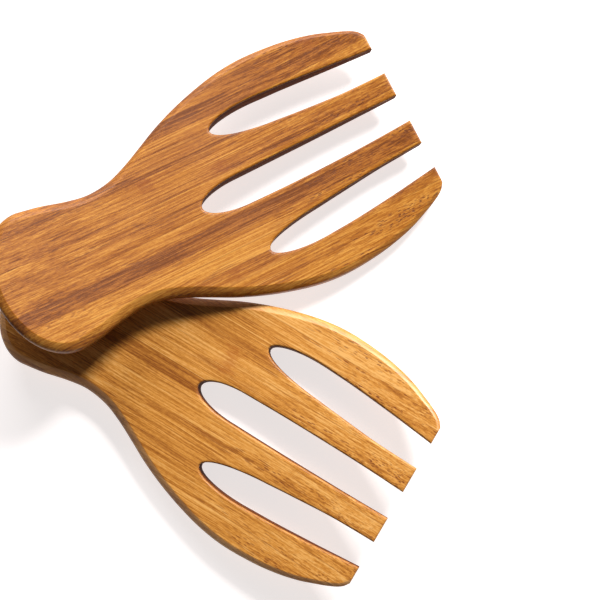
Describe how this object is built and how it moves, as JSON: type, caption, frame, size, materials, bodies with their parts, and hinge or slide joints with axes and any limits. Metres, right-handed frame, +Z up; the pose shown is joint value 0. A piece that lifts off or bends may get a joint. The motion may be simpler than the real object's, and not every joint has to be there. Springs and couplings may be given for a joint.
{
  "type": "salad hands",
  "caption": "Pair of curved wooden salad hands with forked ends, one resting across the heel of the other.",
  "frame": {"origin": "under the palm of the lower hand, on the flat of its middle strip, 104 mm behind the tips, on the surface that both hands lie on", "axes": "+X along the centre line of the lower hand towards its tips, +Z up, +Y to the side that the upper hand fans out to"},
  "size_m": [0.1961, 0.2173, 0.0482],
  "materials": {
    "lower_bamboo": "oiled, satin",
    "upper_bamboo": "oiled, satin"
  },
  "bodies": {
    "lower_hand": {"lower_strip_01": "lower_bamboo", "lower_strip_02": "lower_bamboo", "lower_strip_03": "lower_bamboo", "lower_strip_04": "lower_bamboo", "lower_strip_05": "lower_bamboo", "lower_strip_06": "lower_bamboo", "lower_strip_07": "lower_bamboo", "lower_strip_08": "lower_bamboo", "lower_strip_09": "lower_bamboo", "lower_strip_10": "lower_bamboo", "lower_strip_11": "lower_bamboo", "lower_strip_12": "lower_bamboo", "lower_strip_13": "lower_bamboo", "lower_strip_14": "lower_bamboo", "lower_strip_15": "lower_bamboo", "lower_strip_16": "lower_bamboo", "lower_strip_17": "lower_bamboo", "lower_heel_strip_right": "lower_bamboo", "lower_heel_strip_left": "lower_bamboo"},
    "upper_hand": {"upper_strip_01": "upper_bamboo", "upper_strip_02": "upper_bamboo", "upper_strip_03": "upper_bamboo", "upper_strip_04": "upper_bamboo", "upper_strip_05": "upper_bamboo", "upper_strip_06": "upper_bamboo", "upper_strip_07": "upper_bamboo", "upper_strip_08": "upper_bamboo", "upper_strip_09": "upper_bamboo", "upper_strip_10": "upper_bamboo", "upper_strip_11": "upper_bamboo", "upper_strip_12": "upper_bamboo", "upper_strip_13": "upper_bamboo", "upper_strip_14": "upper_bamboo", "upper_strip_15": "upper_bamboo", "upper_strip_16": "upper_bamboo", "upper_strip_17": "upper_bamboo", "upper_heel_strip_right": "upper_bamboo", "upper_heel_strip_left": "upper_bamboo"}
  },
  "joints": [
    {"name": "upper_lift", "type": "slide", "parent": "lower_hand", "child": "upper_hand", "axis": [0, 0, 1], "range_m": [0, 0.08]}
  ]
}
